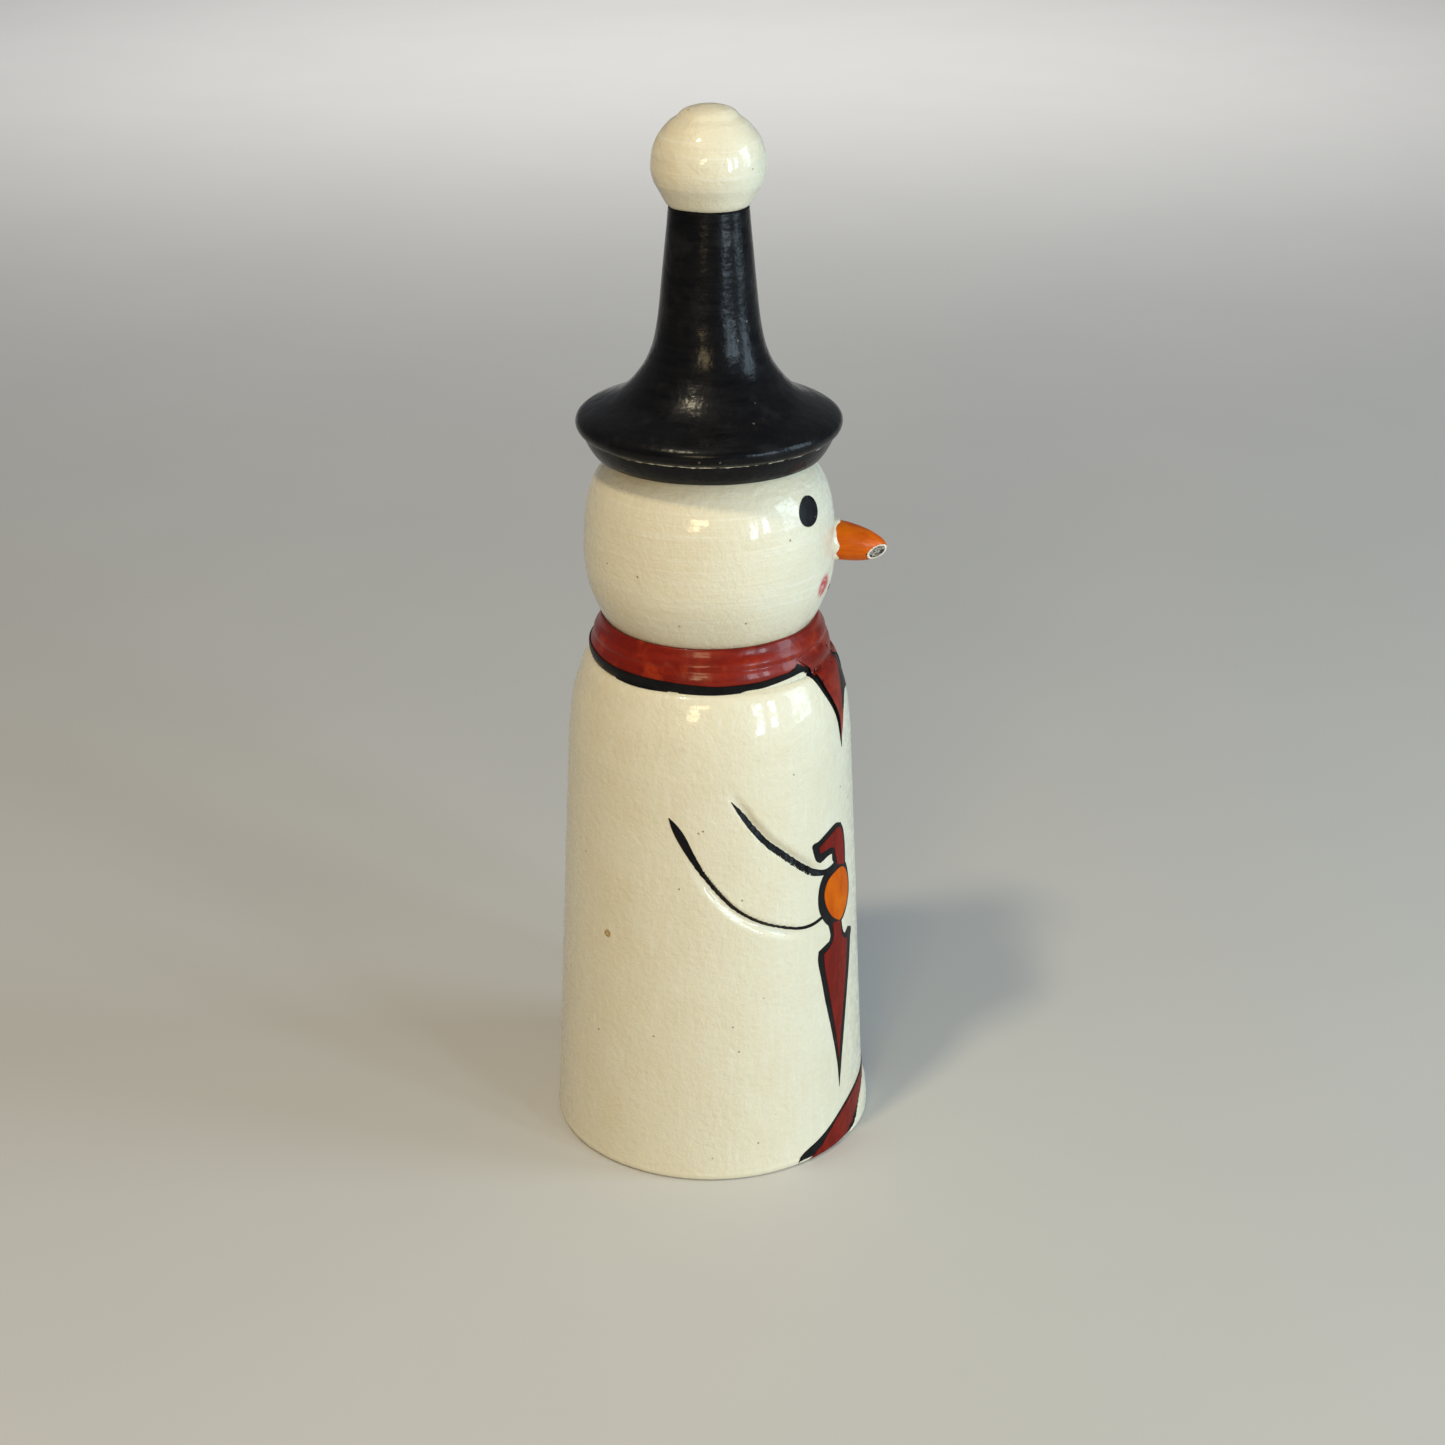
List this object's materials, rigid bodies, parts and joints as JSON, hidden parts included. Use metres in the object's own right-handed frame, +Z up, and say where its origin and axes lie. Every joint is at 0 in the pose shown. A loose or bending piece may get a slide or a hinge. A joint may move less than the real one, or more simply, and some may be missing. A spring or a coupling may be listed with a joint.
{
  "type": "wooden snowman figure",
  "caption": "Free-standing turned wooden snowman with a tapered gown, scarf, black hat with a pompom, and a carrot nose; a shelf decoration.",
  "frame": {"origin": "centre of the flat base, on the turning axis", "axes": "+Z up along the turning axis, -Y the way the face and nose point, +X the figure's left"},
  "size_m": [0.0924, 0.0956, 0.2996],
  "materials": {
    "white_enamel": "cream-white gloss enamel brushed over turned softwood",
    "red_enamel": "deep red gloss enamel over wood",
    "orange_enamel": "orange gloss enamel over wood, broken at the tip",
    "black_enamel": "black satin enamel over wood, chipped at the brim",
    "bare_wood": "unpainted dowel"
  },
  "bodies": {
    "root": {"body": "white_enamel", "scarf_collar": "red_enamel", "scarf_end_right": "red_enamel", "scarf_end_left": "red_enamel", "head": "white_enamel", "carrot_nose": "orange_enamel", "hat": "black_enamel", "pompom": "white_enamel", "neck_dowel": "bare_wood", "hat_dowel": "bare_wood", "pompom_dowel": "bare_wood"}
  },
  "joints": []
}
